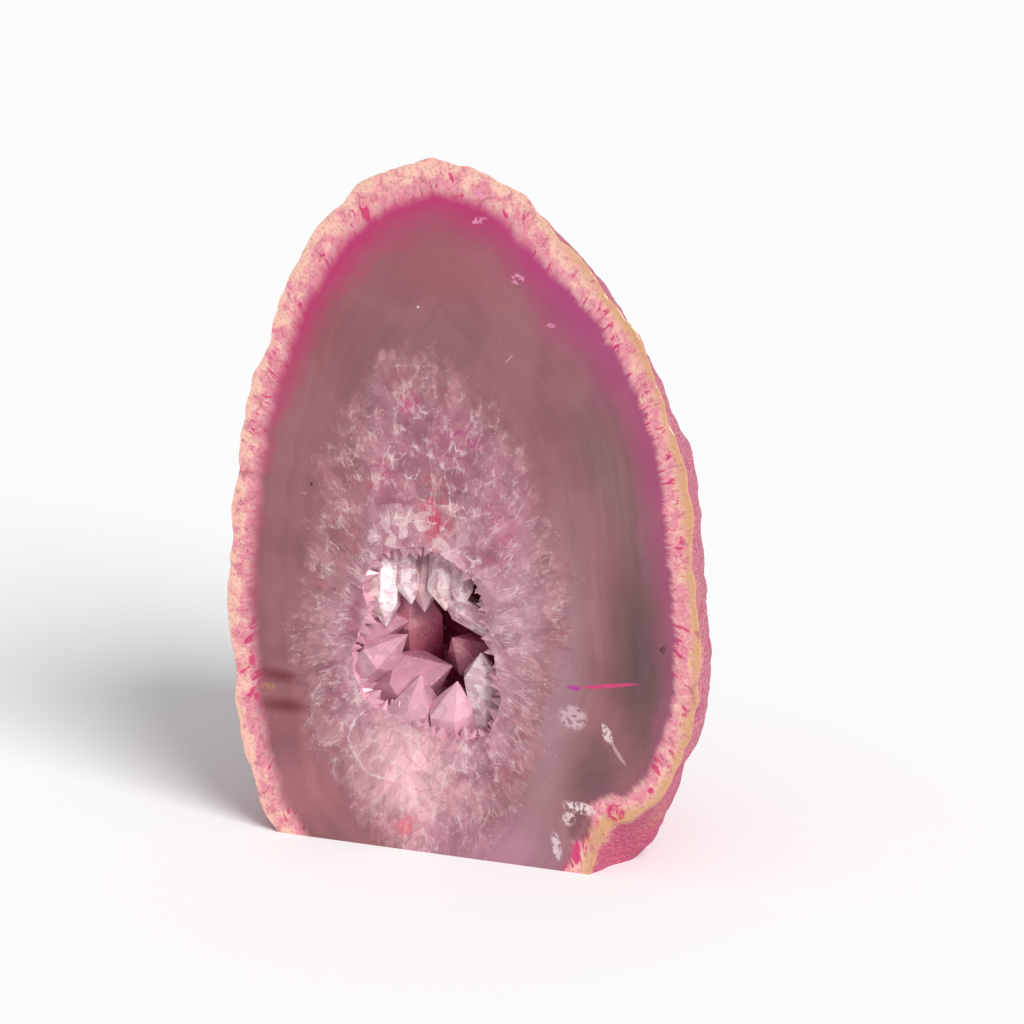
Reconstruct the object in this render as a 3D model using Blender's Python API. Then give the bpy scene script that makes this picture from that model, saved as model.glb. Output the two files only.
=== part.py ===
"""A free-standing geode: half of an agate nodule, sawn and polished on its front, sawn flat underneath.

Lengths are metres, and +Z is up. The polished face looks towards -Y and leans back a little. The stone is
drawn in the face's own frame, where x runs to the right along the face, z runs up along the face and y is
the depth behind it. One empty, geode, turns and places that frame in the world. The quartz crystals that
stand in the pocket are objects of their own, and each one sits in a socket of the stone.
"""

import math

import bmesh
import bpy
from mathutils import Matrix, Vector, noise

# The nodule and its two saw cuts.
LEAN = math.radians(5.0)  # how far the polished face leans back from upright
DEPTH = 0.046  # from the polished face to the back of the nodule
SHOULDER_DEPTH = 0.009  # where the nodule takes its full outline behind the face
MIDDLE_OFFSET = 0.008  # the saw passed this far behind the nodule's widest plane
BACK_DROP = 0.017  # the back of the nodule bulges lower than the face's middle
NODULE_CENTRE = (-0.003, 0.056)
NODULE_SEGMENTS = 120
NODULE_RINGS = 28
LUMP_HEIGHT = 0.0012
LUMP_SIZE = 0.013

# The pocket in the quartz, open at the face.
POCKET_CENTRE = (-0.0085, 0.0350)
POCKET_DEPTH = 0.0185
POCKET_MOUTH = 0.002  # how far its cutter reaches out in front of the face
POCKET_SEGMENTS = 30
POCKET_RINGS = 14
POCKET_LUMP = 0.12  # the share of its radius that the pocket's wall wanders in and out

# Crystals and their sockets.
FITTING_GAP = 0.0003
TIP_SLOPE = 1.3  # a crystal's point is this many times as long as its radius

# The edge of the polished face, anticlockwise from its chipped lower right corner. The points below z = 0
# belong to the part of the nodule that the base cut takes away.
FACE_OUTLINE = (
    (0.021, 0.000),
    (0.022, 0.005),
    (0.024, 0.009),
    (0.029, 0.011),
    (0.034, 0.016),
    (0.037, 0.025),
    (0.037, 0.050),
    (0.035, 0.066),
    (0.031, 0.079),
    (0.025, 0.090),
    (0.013, 0.103),
    (0.005, 0.111),
    (-0.006, 0.115),
    (-0.012, 0.115),
    (-0.024, 0.109),
    (-0.034, 0.095),
    (-0.040, 0.079),
    (-0.044, 0.055),
    (-0.044, 0.032),
    (-0.040, 0.011),
    (-0.038, 0.004),
    (-0.035, 0.000),
    (-0.024, -0.010),
    (-0.004, -0.017),
    (0.012, -0.011),
)

# The nodule's outline at SHOULDER_DEPTH, where its skin is whole at every corner.
SHOULDER_OUTLINE = (
    (0.036, 0.026),
    (0.037, 0.041),
    (0.035, 0.055),
    (0.028, 0.078),
    (0.021, 0.090),
    (0.003, 0.108),
    (-0.006, 0.111),
    (-0.015, 0.110),
    (-0.033, 0.094),
    (-0.044, 0.066),
    (-0.045, 0.044),
    (-0.043, 0.018),
    (-0.034, -0.006),
    (-0.006, -0.019),
    (0.008, -0.015),
    (0.020, -0.004),
    (0.033, 0.016),
)

# The mouth of the pocket on the face.
POCKET_OUTLINE = (
    (0.002, 0.038),
    (-0.002, 0.048),
    (-0.008, 0.051),
    (-0.015, 0.051),
    (-0.020, 0.047),
    (-0.020, 0.039),
    (-0.022, 0.030),
    (-0.019, 0.024),
    (-0.013, 0.022),
    (-0.007, 0.020),
    (0.000, 0.020),
    (0.004, 0.024),
    (0.004, 0.031),
)

# Each crystal: where its axis starts in the wall, where its tip is, its radius and its turn on the axis.
CRYSTALS = {
    "roof_crystal_left": ((-0.019, 0.051, 0.006), (-0.018, 0.039, 0.003), 0.0023, 10),
    "roof_crystal_small": ((-0.0155, 0.051, 0.007), (-0.014, 0.043, 0.004), 0.0017, 35),
    "roof_crystal_middle": ((-0.012, 0.051, 0.008), (-0.012, 0.040, 0.005), 0.0023, 0),
    "roof_crystal_silver": ((-0.009, 0.051, 0.007), (-0.008, 0.042, 0.004), 0.0020, 20),
    "roof_crystal_right": ((-0.0055, 0.050, 0.007), (-0.0045, 0.042, 0.003), 0.0020, 50),
    "rim_crystal_right": ((0.001, 0.037, 0.008), (-0.007, 0.042, 0.005), 0.0023, 15),
    "back_crystal_large": ((-0.019, 0.023, 0.020), (-0.016, 0.043, 0.008), 0.0053, 10),
    "back_crystal_upper": ((-0.003, 0.041, 0.020), (-0.009, 0.040, 0.010), 0.0040, 40),
    "back_crystal_right": ((-0.002, 0.026, 0.018), (-0.007, 0.035, 0.007), 0.0042, 5),
    "side_crystal_right": ((0.000, 0.018, 0.008), (-0.001, 0.034, 0.003), 0.0030, 30),
    "floor_crystal_right": ((-0.006, 0.014, 0.008), (-0.005, 0.027, 0.003), 0.0033, 15),
    "floor_crystal_left": ((-0.014, 0.013, 0.008), (-0.012, 0.026, 0.003), 0.0034, 40),
    "floor_crystal_large": ((-0.027, 0.021, 0.012), (-0.008, 0.030, 0.005), 0.0055, 25),
    "floor_crystal_small": ((-0.028, 0.023, 0.007), (-0.017, 0.033, 0.004), 0.0030, 10),
    "side_crystal_left": ((-0.025, 0.035, 0.008), (-0.017, 0.037, 0.005), 0.0032, 20),
}

# name: linear colour, roughness
STONE_FINISH = ((0.33, 0.13, 0.15), 0.35)
CRYSTAL_FINISH = ((0.52, 0.30, 0.34), 0.15)


def clear_scene():
    for leftover in list(bpy.data.objects):
        bpy.data.objects.remove(leftover)


def new_collection(name):
    collection = bpy.data.collections.new(name)
    bpy.context.scene.collection.children.link(collection)
    return collection


def plain_material(name, colour, roughness):
    material = bpy.data.materials.new(name)
    material.use_nodes = True
    shader = material.node_tree.nodes["Principled BSDF"]
    shader.inputs["Base Color"].default_value = (*colour, 1.0)
    shader.inputs["Roughness"].default_value = roughness
    shader.inputs["Metallic"].default_value = 0.0
    return material


def object_from(shape, name, collection):
    mesh = bpy.data.meshes.new(name)
    shape.to_mesh(mesh)
    shape.free()
    thing = bpy.data.objects.new(name, mesh)
    collection.objects.link(thing)
    return thing


class Outline:
    """A closed outline round a centre, read as a smooth distance in every direction."""

    def __init__(self, points, centre):
        polar = []
        for x, z in points:
            along, up = x - centre[0], z - centre[1]
            polar.append((math.atan2(up, along), math.hypot(along, up)))
        polar.sort()
        turn = 2 * math.pi
        before = [(angle - turn, radius) for angle, radius in polar[-2:]]
        after = [(angle + turn, radius) for angle, radius in polar[:2]]
        self.knots = before + polar + after

    def radius(self, angle):
        angle = math.remainder(angle, 2 * math.pi)
        knots = self.knots
        i = next(k for k in range(2, len(knots) - 1) if angle <= knots[k][0])
        (a0, r0), (a1, r1), (a2, r2), (a3, r3) = knots[i - 2 : i + 2]
        span = a2 - a1
        t = (angle - a1) / span
        slope_in = (r2 - r0) / (a2 - a0) * span
        slope_out = (r3 - r1) / (a3 - a1) * span
        return (
            (1 + 2 * t) * (1 - t) ** 2 * r1
            + t * (1 - t) ** 2 * slope_in
            + t * t * (3 - 2 * t) * r2
            + t * t * (t - 1) * slope_out
        )


def lumps(point):
    """The nodule's shallow natural lumps, between about -1 and 1."""
    place = point / LUMP_SIZE
    return noise.noise(place) + 0.45 * noise.noise(2.3 * place)


def nodule_point(angle, latitude, face_edge, shoulder_edge):
    """A point of the nodule's skin: latitude 0 is the face's edge and a quarter turn is the back."""
    depth = DEPTH * math.sin(latitude)
    share = min(1.0, depth / SHOULDER_DEPTH)
    radius = (1 - share) * face_edge.radius(angle) + share * shoulder_edge.radius(angle)
    half_length = DEPTH + MIDDLE_OFFSET
    at_shoulder = math.sqrt(1 - ((SHOULDER_DEPTH + MIDDLE_OFFSET) / half_length) ** 2)
    behind = max(depth, SHOULDER_DEPTH)
    radius *= math.sqrt(max(0.0, 1 - ((behind + MIDDLE_OFFSET) / half_length) ** 2)) / at_shoulder
    drop = BACK_DROP * (depth / DEPTH) ** 1.5
    point = Vector(
        (
            NODULE_CENTRE[0] + radius * math.cos(angle),
            depth,
            NODULE_CENTRE[1] - drop + radius * math.sin(angle),
        )
    )
    outward = (point - Vector((NODULE_CENTRE[0], 0, NODULE_CENTRE[1]))).normalized()
    return point + LUMP_HEIGHT * share * lumps(point) * outward


def pocket_point(angle, latitude, mouth_edge):
    """A point of the pocket's cutter: it narrows behind the face and flares slightly in front of it."""
    radius = mouth_edge.radius(angle)
    if latitude < 0:
        depth = POCKET_MOUTH * math.sin(latitude)
        radius *= math.cos(latitude) ** 0.25
    else:
        depth = POCKET_DEPTH * math.sin(latitude)
        radius *= math.cos(latitude) ** 0.8
    point = Vector(
        (
            POCKET_CENTRE[0] + radius * math.cos(angle),
            depth,
            POCKET_CENTRE[1] + radius * math.sin(angle),
        )
    )
    wander = POCKET_LUMP * max(0.0, math.sin(latitude)) * lumps(2 * point)
    point.x += wander * radius * math.cos(angle)
    point.z += wander * radius * math.sin(angle)
    return point


def mapped_sphere(segments, rings, point_at):
    """A unit sphere whose back pole is at +Y, with each vertex moved to where point_at puts it."""
    shape = bmesh.new()
    bmesh.ops.create_uvsphere(shape, u_segments=segments, v_segments=rings, radius=1.0)
    for vertex in shape.verts:
        angle = math.atan2(vertex.co.y, vertex.co.x)
        latitude = math.asin(max(-1.0, min(1.0, vertex.co.z)))
        vertex.co = point_at(angle, latitude)
    bmesh.ops.reverse_faces(shape, faces=shape.faces)  # the sphere's +Z became +Y, which mirrors it
    shape.normal_update()
    return shape


def saw(shape, point, outward):
    """Cuts away what lies beyond a plane, and closes the cut with one flat face."""
    everything = shape.verts[:] + shape.edges[:] + shape.faces[:]
    cut = bmesh.ops.bisect_plane(
        shape, geom=everything, plane_co=point, plane_no=outward, clear_outer=True, dist=1e-6
    )
    rim = [edge for edge in cut["geom_cut"] if isinstance(edge, bmesh.types.BMEdge)]
    bmesh.ops.edgeloop_fill(shape, edges=rim)
    shape.normal_update()
    bmesh.ops.recalc_face_normals(shape, faces=shape.faces)


def build_nodule(collection):
    face_edge = Outline(FACE_OUTLINE, NODULE_CENTRE)
    shoulder_edge = Outline(SHOULDER_OUTLINE, NODULE_CENTRE)

    def point_at(angle, latitude):
        point = nodule_point(angle, abs(latitude), face_edge, shoulder_edge)
        if latitude < 0:
            point.y = -point.y
        return point

    shape = mapped_sphere(NODULE_SEGMENTS, NODULE_RINGS, point_at)
    saw(shape, Vector(), Vector((0, -1, 0)))
    down = Matrix.Rotation(LEAN, 3, "X") @ Vector((0, 0, -1))
    saw(shape, Vector(), down)
    return object_from(shape, "geode_stone", collection)


def crystal_shape(length, radius, grow):
    """A six-sided crystal along +Z from its root, with an off-centre point. grow swells it on every side."""
    tip_length = TIP_SLOPE * radius
    shank = length - tip_length
    swollen = radius + grow
    shape = bmesh.new()
    bmesh.ops.create_cone(
        shape,
        cap_ends=True,
        segments=6,
        radius1=0.92 * swollen,
        radius2=swollen,
        depth=shank + grow,
    )
    bmesh.ops.translate(shape, verts=shape.verts, vec=(0, 0, (shank - grow) / 2))
    top = max(shape.faces, key=lambda face: face.calc_center_median().z)
    poked = bmesh.ops.poke(shape, faces=[top])
    lean_over = 0.22 * radius
    poked["verts"][0].co = Vector((lean_over, -0.5 * lean_over, length + 1.6 * grow))
    bmesh.ops.scale(shape, verts=shape.verts, vec=(1.0, 0.86, 1.0))
    bmesh.ops.recalc_face_normals(shape, faces=shape.faces)
    return shape


def place_crystal(thing, root, tip, turn):
    start = Vector((root[0], root[2], root[1]))
    end = Vector((tip[0], tip[2], tip[1]))
    thing.location = start
    thing.rotation_mode = "QUATERNION"
    aim = (end - start).to_track_quat("Z", "Y")
    thing.rotation_quaternion = aim @ Matrix.Rotation(math.radians(turn), 3, "Z").to_quaternion()
    return (end - start).length


def as_cutter(thing):
    thing.hide_render = True
    thing.display_type = "WIRE"


def add_cut(thing, name, cutter):
    """cutter is one object, or a collection of them."""
    cut = thing.modifiers.new(name, "BOOLEAN")
    cut.operation = "DIFFERENCE"
    cut.solver = "EXACT"
    if isinstance(cutter, bpy.types.Collection):
        cut.operand_type = "COLLECTION"
        cut.collection = cutter
    else:
        cut.object = cutter


def build_crystals(parts, cutters, frame):
    """Each crystal, and the slightly larger socket that the stone and the later crystals leave for it."""
    finish = plain_material("quartz", *CRYSTAL_FINISH)
    earlier_sockets = []
    for name, (root, tip, radius, turn) in CRYSTALS.items():
        length = math.dist(root, tip)
        crystal = object_from(crystal_shape(length, radius, 0.0), name, parts)
        socket = object_from(crystal_shape(length, radius, FITTING_GAP), f"{name}_socket", cutters)
        for thing in (crystal, socket):
            place_crystal(thing, root, tip, turn)
            thing.parent = frame
        as_cutter(socket)
        crystal.data.materials.append(finish)
        for neighbour in earlier_sockets:
            add_cut(crystal, neighbour.name, neighbour)
        earlier_sockets.append(socket)


def stand_on_ground(frame, stone):
    """Turns the face's frame back by its lean, and puts the origin under the middle of the stone's box."""
    frame.rotation_euler = (-LEAN, 0, 0)
    turned = [Matrix.Rotation(-LEAN, 3, "X") @ vertex.co for vertex in stone.data.vertices]
    low = Vector(min(point[axis] for point in turned) for axis in range(3))
    high = Vector(max(point[axis] for point in turned) for axis in range(3))
    frame.location = (-(low.x + high.x) / 2, -(low.y + high.y) / 2, -low.z)


def main():
    clear_scene()
    parts = new_collection("geode")
    cutters = new_collection("cutters")
    frame = bpy.data.objects.new("geode", None)
    parts.objects.link(frame)

    stone = build_nodule(parts)
    stone.data.materials.append(plain_material("agate", *STONE_FINISH))
    stone.data.shade_smooth()
    stone.data.set_sharp_from_angle(angle=math.radians(40))
    stone.parent = frame

    mouth_edge = Outline(POCKET_OUTLINE, POCKET_CENTRE)
    pocket_shape = mapped_sphere(
        POCKET_SEGMENTS,
        POCKET_RINGS,
        lambda angle, latitude: pocket_point(angle, latitude, mouth_edge),
    )
    pocket = object_from(pocket_shape, "pocket", cutters)
    pocket.parent = frame
    as_cutter(pocket)

    build_crystals(parts, cutters, frame)
    add_cut(stone, "pocket and sockets", cutters)
    stand_on_ground(frame, stone)


main()
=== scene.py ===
import math

import bmesh
import bpy
import numpy as np
from mathutils import Matrix, Vector, noise


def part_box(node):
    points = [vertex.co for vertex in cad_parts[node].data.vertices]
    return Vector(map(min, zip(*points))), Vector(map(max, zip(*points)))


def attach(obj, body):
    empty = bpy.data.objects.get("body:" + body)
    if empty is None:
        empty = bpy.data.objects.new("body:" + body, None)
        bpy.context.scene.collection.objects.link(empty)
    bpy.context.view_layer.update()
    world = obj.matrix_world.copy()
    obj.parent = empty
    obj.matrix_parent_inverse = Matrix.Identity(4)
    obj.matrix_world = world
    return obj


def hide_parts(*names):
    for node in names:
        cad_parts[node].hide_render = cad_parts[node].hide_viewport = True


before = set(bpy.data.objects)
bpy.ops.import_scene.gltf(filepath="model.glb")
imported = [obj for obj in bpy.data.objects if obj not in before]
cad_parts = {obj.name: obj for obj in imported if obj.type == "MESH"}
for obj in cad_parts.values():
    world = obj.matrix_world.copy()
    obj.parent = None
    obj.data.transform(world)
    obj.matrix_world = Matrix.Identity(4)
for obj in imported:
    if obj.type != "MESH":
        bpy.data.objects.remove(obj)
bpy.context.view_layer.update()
millimetre = 0.001
print("frame loaded:", len(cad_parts), "nodes")

# ---- the stone's shape, in millimetres in the polished face's own frame: right, up, and depth behind it

stoneShape = {
    "leanDegrees": 5.0,
    "depth": 46.0,
    "shoulderDepth": 9.0,
    "middleOffset": 8.0,
    "backDrop": 17.0,
    "centre": (-3.0, 56.0),
    "lumpHeight": 1.2,
    "lumpSize": 13.0,
    "columns": 420,  # points round every ring of the mesh
    "faceRings": 40,
    "skinRings": 92,
    "pocketRings": 26,
    "baseRings": 16,
    "pitDepth": 0.34,  # the skin's pits, and the chips along the face's edge
    "edgeChip": 0.30,
    "edgeWander": 0.9,
    "roughFrom": 1.5,  # how far behind the face the pits take over from the chips
    "groundEdge": 0.12,  # the worn edge round the polish
    "ringSpread": 0.85,  # below 1, the face's rings lie closer together at its edge
    "rimRadius": 48.0,  # turns an angle into a length along the rim
    "sharpDegrees": 32.0,  # folds sharper than this are shaded as edges
}

# The edge of the polished face. What lies below 0 goes with the base cut.
faceOutline = [
    (21, 0), (22, 5), (24, 9), (29, 11), (34, 16), (37, 25), (37, 50), (35, 66), (31, 79), (25, 90),
    (13, 103), (5, 111), (-6, 115), (-12, 115), (-24, 109), (-34, 95), (-40, 79), (-44, 55),
    (-44, 32), (-40, 11), (-38, 4), (-35, 0), (-24, -10), (-4, -17), (12, -11),
]  # fmt: skip

# The nodule's outline at the shoulder's depth.
shoulderOutline = [
    (36, 26), (37, 41), (35, 55), (28, 78), (21, 90), (3, 108), (-6, 111), (-15, 110), (-33, 94),
    (-44, 66), (-45, 44), (-43, 18), (-34, -6), (-6, -19), (8, -15), (20, -4), (33, 16),
]  # fmt: skip

pocketShape = {
    "centre": (-8.5, 35.0),
    "depth": 18.5,
    "wanderShare": 0.12,
    "brokenEdge": 0.9,  # how far the mouth's broken edge steps in and out
    "facetSize": 3.0,  # the druse's flat-sided bumps on the wall
    "facetHeight": 1.1,
    "facetsFrom": 2.5,  # how deep the wall's bumps reach their full height
    "brokenSize": 3.4,
    "chippedReach": 2.6,  # broken facets round the mouth, on the face
    "chippedDepth": 0.9,
    "chippedSize": 2.7,
    "taper": 0.8,  # below 1, the pocket stays wide further in
}

pocketOutline = [
    (2, 38), (-2, 48), (-8, 51), (-15, 51), (-20, 47), (-20, 39), (-22, 30), (-19, 24), (-13, 22),
    (-7, 20), (0, 20), (4, 24), (4, 31),
]  # fmt: skip

# The edge of the sugary quartz on the face, which runs on below the base cut.
quartzOutline = [
    (14, 30), (12, 58), (5, 72), (-6, 81), (-16, 84), (-24, 73), (-30, 50), (-31, 26), (-26, 12),
    (-18, 4), (-10, -8), (-2, -2), (11, 16),
]  # fmt: skip


faceRegion, skinRegion, pocketRegion, baseRegion = range(4)


class Outline:
    # a closed outline round a centre, read as a smooth distance in every direction
    def __init__(self, points, centre):
        self.centre = np.array(centre, float)
        off = np.array(points, float) - self.centre
        angles = np.arctan2(off[:, 1], off[:, 0])
        order = np.argsort(angles)
        angles, radii = angles[order], np.hypot(off[:, 0], off[:, 1])[order]
        turn = 2 * math.pi
        self.angles = np.concatenate([angles[-2:] - turn, angles, angles[:2] + turn])
        self.radii = np.concatenate([radii[-2:], radii, radii[:2]])

    def radius(self, angle):
        angle = (np.asarray(angle, float) + math.pi) % (2 * math.pi) - math.pi
        i = np.clip(np.searchsorted(self.angles, angle), 2, len(self.angles) - 2)
        a, r = self.angles, self.radii
        span = a[i] - a[i - 1]
        t = (angle - a[i - 1]) / span
        slopeIn = (r[i] - r[i - 2]) / (a[i] - a[i - 2]) * span
        slopeOut = (r[i + 1] - r[i - 1]) / (a[i + 1] - a[i - 1]) * span
        return (
            (1 + 2 * t) * (1 - t) ** 2 * r[i - 1]
            + t * (1 - t) ** 2 * slopeIn
            + t * t * (3 - 2 * t) * r[i]
            + t * t * (t - 1) * slopeOut
        )

    def point(self, angle):
        radius = self.radius(angle)
        across, up = radius * np.cos(angle), radius * np.sin(angle)
        return np.stack([self.centre[0] + across, self.centre[1] + up], -1)


def noiseOver(points, size, seed=0.0):
    # smooth noise between about -1 and 1, one value for each row of points
    flat = (np.asarray(points, float) / size + seed).reshape(-1, 3)
    return np.array([noise.noise(Vector(p)) for p in flat]).reshape(np.shape(points)[:-1])


def facetsOver(points, size):
    # flat-sided pyramids between 0 and 1, one round each cell's middle
    flat = (np.asarray(points, float) / size).reshape(-1, 3)
    heights = [1.0 - noise.voronoi(Vector(p), distance_metric="MANHATTAN")[0][0] for p in flat]
    return np.clip(np.array(heights), 0.0, 1.0).reshape(np.shape(points)[:-1])


def distanceToLine(points, line):
    # the shortest distance from each point to a closed line of points, all in the plane
    best = np.full(len(points), np.inf)
    for a, b in zip(line, np.roll(line, -1, axis=0)):
        ab = b - a
        t = np.clip(((points - a) @ ab) / max(ab @ ab, 1e-12), 0, 1)
        best = np.minimum(best, np.hypot(*(points - a - t[:, None] * ab).T))
    return best


def lumpsOver(points):
    size = stoneShape["lumpSize"]
    return noiseOver(points, size) + 0.45 * noiseOver(points, size / 2.3)


faceEdge = Outline(faceOutline, stoneShape["centre"])
shoulderEdge = Outline(shoulderOutline, stoneShape["centre"])
mouthEdge = Outline(pocketOutline, pocketShape["centre"])
quartzEdge = Outline(quartzOutline, pocketShape["centre"])


def widthShare(depth):
    # how wide the nodule is at a depth: an ellipse whose middle lies in front of the face
    offset = stoneShape["middleOffset"]
    halfLength = stoneShape["depth"] + offset
    return math.sqrt(max(0.0, 1 - ((depth + offset) / halfLength) ** 2))


def skinRing(angles, latitude):
    # one ring of the nodule's skin: latitude 0 is the face's edge and a quarter turn is the back
    shape = stoneShape
    depth = shape["depth"] * math.sin(latitude)
    share = min(1.0, depth / shape["shoulderDepth"])
    radius = (1 - share) * faceEdge.radius(angles) + share * shoulderEdge.radius(angles)
    behind = max(depth, shape["shoulderDepth"])
    radius = radius * widthShare(behind) / widthShare(shape["shoulderDepth"])
    drop = shape["backDrop"] * (depth / shape["depth"]) ** 1.5
    # the outline steps in and out a little, as broken rock does
    level = np.full_like(angles, depth)
    around = np.stack([radius * np.cos(angles), level, radius * np.sin(angles)], -1)
    steps = noiseOver(around, 8.0, seed=21.0) + 0.6 * noiseOver(around, 3.6, seed=33.0)
    radius = radius + shape["edgeWander"] * steps
    cx, cz = shape["centre"]
    ring = np.stack([cx + radius * np.cos(angles), level, cz - drop + radius * np.sin(angles)], -1)
    outward = ring - np.array([cx, 0.0, cz])
    outward /= np.linalg.norm(outward, axis=-1, keepdims=True)
    ring += shape["lumpHeight"] * share * lumpsOver(ring)[:, None] * outward
    # pits, fading towards the polished edge, which has small chips instead
    pits = 0.6 * noiseOver(ring, 3.1, seed=7.0) + 0.5 * np.abs(noiseOver(ring, 1.5, seed=3.0))
    pits = pits + 0.35 * noiseOver(ring, 0.8)
    chips = np.maximum(0.0, noiseOver(ring, 2.4, seed=11.0))
    chips = chips + 0.7 * np.maximum(0.0, noiseOver(ring, 1.0, seed=5.0))
    rough = min(1.0, depth / shape["roughFrom"])
    sink = shape["pitDepth"] * pits * rough + shape["edgeChip"] * chips * (1 - rough)
    return ring - sink[:, None] * outward


def mouthLine(angles):
    # the mouth's edge, broken into straight steps
    line = mouthEdge.point(angles)
    along = np.stack([line[:, 0], np.zeros(len(line)), line[:, 1]], -1)
    step = facetsOver(along, pocketShape["brokenSize"]) - 0.5
    outward = line - mouthEdge.centre
    outward /= np.linalg.norm(outward, axis=-1, keepdims=True)
    return line + pocketShape["brokenEdge"] * step[:, None] * outward


def pocketRing(angles, latitude):
    shape = pocketShape
    edge = mouthLine(angles) - mouthEdge.centre
    depth = shape["depth"] * math.sin(latitude)
    narrowing = math.cos(latitude) ** shape["taper"]
    ring = np.stack([shape["centre"][0] + edge[:, 0] * narrowing, np.full_like(angles, depth),
                     shape["centre"][1] + edge[:, 1] * narrowing], -1)  # fmt: skip
    wander = shape["wanderShare"] * math.sin(latitude) * lumpsOver(2 * ring)
    ring[:, 0] += wander * edge[:, 0]
    ring[:, 2] += wander * edge[:, 1]
    inward = np.array([shape["centre"][0], 0.3 * depth, shape["centre"][1]]) - ring
    inward /= np.maximum(np.linalg.norm(inward, axis=-1, keepdims=True), 1e-9)
    height = shape["facetHeight"] * min(1.0, depth / shape["facetsFrom"])
    return ring + height * facetsOver(ring, shape["facetSize"])[:, None] * inward


def faceRing(angles, share):
    # one ring of the polished face, from the pocket's mouth out to the edge
    inner = mouthLine(angles)
    outer = skinRing(angles, 0.0)[:, [0, 2]]
    flat = (1 - share) * inner + share * outer
    ring = np.stack([flat[:, 0], np.zeros(len(flat)), flat[:, 1]], -1)
    reach = np.clip(1 - np.hypot(*(flat - inner).T) / pocketShape["chippedReach"], 0, 1)
    sink = facetsOver(ring + 40.0, pocketShape["chippedSize"]) - 0.45
    ring[:, 1] = pocketShape["chippedDepth"] * np.clip(sink, 0, 1) * reach
    return ring


def faceToWorld():
    # the face's frame stands on the CAD stone's box: its origin is the face's lower edge
    low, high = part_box("geode_stone")
    turn = Matrix.Rotation(-math.radians(stoneShape["leanDegrees"]), 4, "X")
    skin = np.concatenate([skinRing(np.linspace(-math.pi, math.pi, 721), k * 0.02) for k in range(20)])
    skin = skin[skin[:, 2] > 0]
    middle = (skin[:, 0].min() + skin[:, 0].max()) / 2 * millimetre
    place = Vector(((low.x + high.x) / 2 - middle, low.y, low.z))
    return Matrix.Translation(place) @ turn


faceFrame = faceToWorld()


def closedGrid(rings):
    # a closed mesh from rings of equal length; the first and last shrink to a single point
    columns = len(rings[1])
    points = [rings[0][0]]
    for ring in rings[1:-1]:
        points.extend(ring)
    points.append(rings[-1][0])
    faces = []
    last = len(points) - 1
    for j in range(columns):
        after = (j + 1) % columns
        faces.append((0, 1 + j, 1 + after))
        for k in range(len(rings) - 3):
            a, b = 1 + k * columns, 1 + (k + 1) * columns
            faces.append((a + j, b + j, b + after, a + after))
        top = 1 + (len(rings) - 3) * columns
        faces.append((top + j, last, top + after))
    return points, faces


def makeStone():
    shape = stoneShape
    angles = np.linspace(0, 2 * math.pi, shape["columns"], endpoint=False)
    pocketTurns = [math.pi / 2 * (1 - k / shape["pocketRings"]) for k in range(shape["pocketRings"] + 1)]
    rings = [pocketRing(angles, turn) for turn in pocketTurns]
    regions = [pocketRegion] * shape["pocketRings"]
    for k in range(1, shape["faceRings"] + 1):
        rings.append(faceRing(angles, (k / shape["faceRings"]) ** shape["ringSpread"]))
        regions.append(faceRegion)
    rings[-1][:, 1] = 0.0
    inward = rings[-2] - rings[-1]
    inset = shape["groundEdge"] * inward / np.linalg.norm(inward, axis=-1, keepdims=True)
    edge = rings[-1].copy()
    rings[-1] = edge + inset  # a ground edge, not a knife's
    edge[:, 1] = shape["groundEdge"]
    rings.append(edge)
    regions.append(faceRegion)
    for k in range(1, shape["skinRings"] + 1):
        rings.append(skinRing(angles, math.pi / 2 * k / shape["skinRings"]))
        regions.append(skinRegion)
    points, faces = closedGrid(rings)
    body = bmesh.new()
    corners = [body.verts.new(Vector(p) * millimetre) for p in points]
    for n, face in enumerate(faces):
        made = body.faces.new([corners[i] for i in face])
        made.material_index = regions[n % (len(rings) - 1)]
    body.transform(faceFrame)
    cutBase(body)
    bmesh.ops.recalc_face_normals(body, faces=body.faces)
    thing = linkedObject(body, "geode_body")
    thing.data.shade_smooth()
    thing.data.set_sharp_from_angle(angle=math.radians(shape["sharpDegrees"]))
    return thing


def cutBase(body):
    # sawn flat underneath, then the cut is closed with rings that shrink to its middle
    everything = body.verts[:] + body.edges[:] + body.faces[:]
    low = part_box("geode_stone")[0].z
    cut = bmesh.ops.bisect_plane(
        body, geom=everything, plane_co=(0, 0, low), plane_no=(0, 0, -1), clear_outer=True, dist=1e-7
    )
    rim = [item for item in cut["geom_cut"] if isinstance(item, bmesh.types.BMEdge)]
    cap = bmesh.ops.edgeloop_fill(body, edges=rim)["faces"][0]
    loop = [corner.vert for corner in cap.loops]
    bmesh.ops.delete(body, geom=[cap], context="FACES_ONLY")
    middle = sum((vert.co for vert in loop), Vector()) / len(loop)
    rings = stoneShape["baseRings"]
    outer = loop
    for k in range(1, rings):
        inner = [body.verts.new(vert.co.lerp(middle, k / rings)) for vert in loop]
        for j in range(len(loop)):
            after = (j + 1) % len(loop)
            body.faces.new((outer[j], outer[after], inner[after], inner[j])).material_index = baseRegion
        outer = inner
    tip = body.verts.new(middle)
    for j in range(len(loop)):
        body.faces.new((outer[j], outer[(j + 1) % len(loop)], tip)).material_index = baseRegion


def linkedObject(body, name):
    # the mesh that was built becomes an object in the scene
    mesh = bpy.data.meshes.new(name)
    body.to_mesh(mesh)
    body.free()
    thing = bpy.data.objects.new(name, mesh)
    bpy.context.scene.collection.objects.link(thing)
    return thing


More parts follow.
